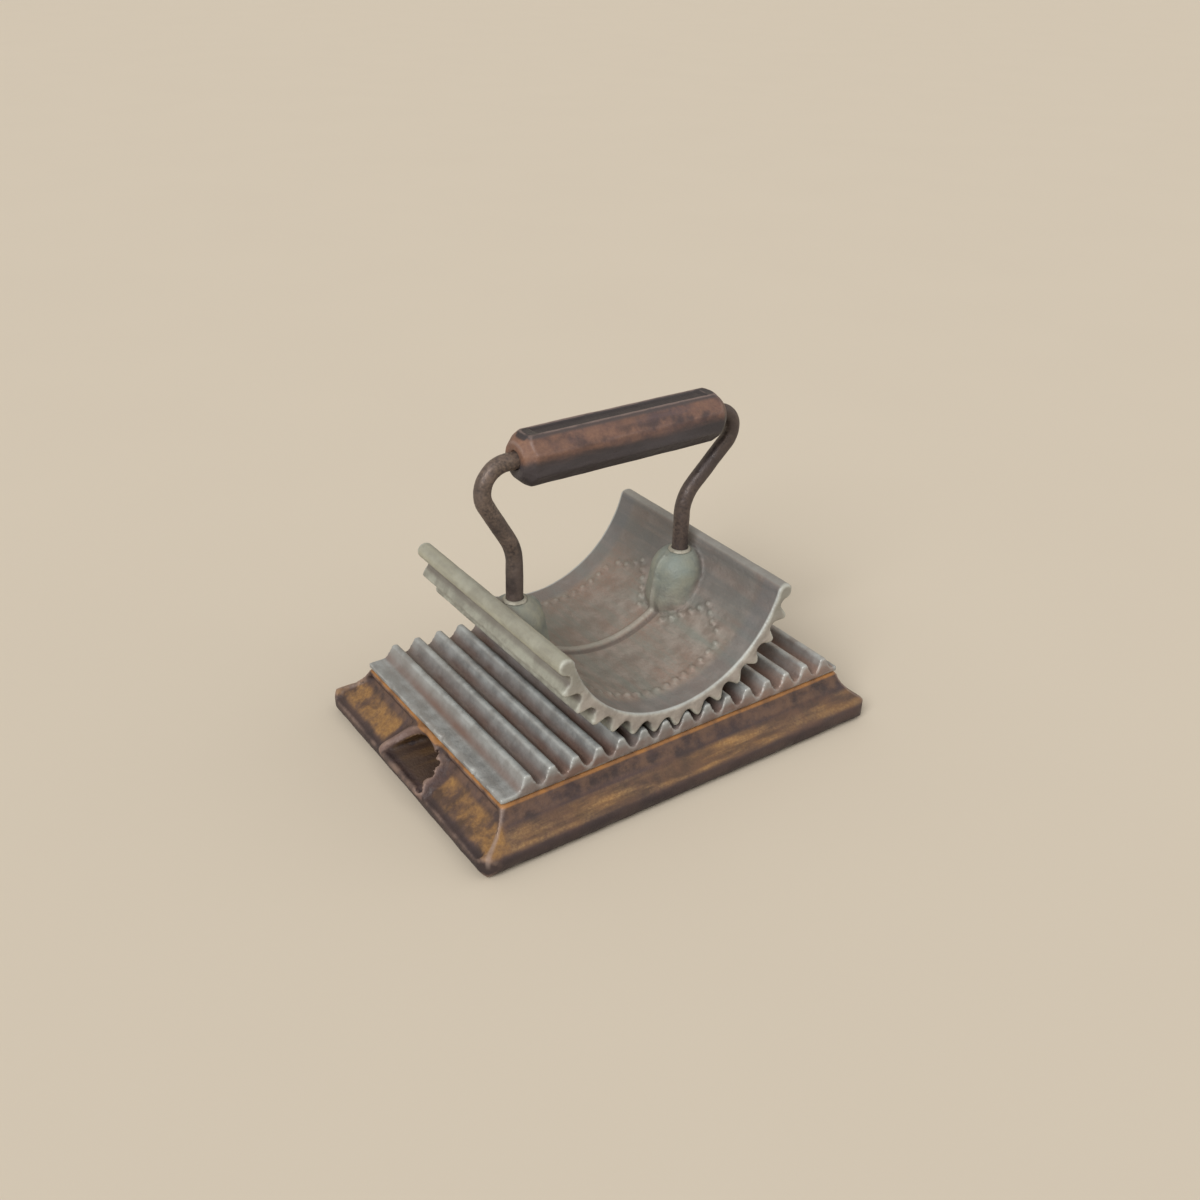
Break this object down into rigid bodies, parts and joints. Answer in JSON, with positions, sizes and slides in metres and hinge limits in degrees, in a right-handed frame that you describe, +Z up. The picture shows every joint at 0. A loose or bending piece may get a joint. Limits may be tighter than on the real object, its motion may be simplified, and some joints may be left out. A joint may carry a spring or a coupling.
{
  "type": "fluting iron",
  "caption": "Hand fluting iron: a toothed rocker with a bent rod handle rolls over the ridged bed of a heavy moulded iron base and crimps the cloth between them.",
  "frame": {"origin": "middle of the base's foot on the table", "axes": "+X along the base, away from the end with the lifter pocket; +Y along the ridges; +Z up"},
  "size_m": [0.146, 0.102, 0.1046],
  "materials": {
    "base_iron": "rusted brown casting with worn golden edges",
    "bed_iron": "blue-grey worn crests over reddish-brown valleys",
    "screw_iron": "dull dark iron",
    "rocker_iron": "taupe and greenish-grey casting with pale worn edges",
    "rod_iron": "dark purple-brown bar with lighter streaks",
    "solder": "pale dull solder",
    "grip_iron": "reddish-brown casting, nearly black on its lower flats",
    "pin_iron": "dull iron"
  },
  "bodies": {
    "base": {"base_casting": "base_iron", "bed_plate": "bed_iron", "bed_screws": "screw_iron"},
    "pin": {"grip_pin": "pin_iron"},
    "rocker": {"rocker_plate": "rocker_iron", "handle_rod": "rod_iron", "foot_rings": "solder", "grip": "grip_iron"}
  },
  "joints": [
    {"name": "rocker_roll", "type": "hinge", "parent": "base", "child": "pin", "pos_m": [-0.001, 0, -0.10083], "axis": [0, 1, 0], "range_deg": [-15.79, 15.79]},
    {"name": "rocker_turn", "type": "hinge", "parent": "pin", "child": "rocker", "pos_m": [-0.001, 0, 0.0969], "axis": [0, 1, 0], "range_deg": [-26.21, 26.21]}
  ],
  "couplings": [
    {"joint": "rocker_turn", "follows": "rocker_roll", "ratio": 1.6596}
  ]
}
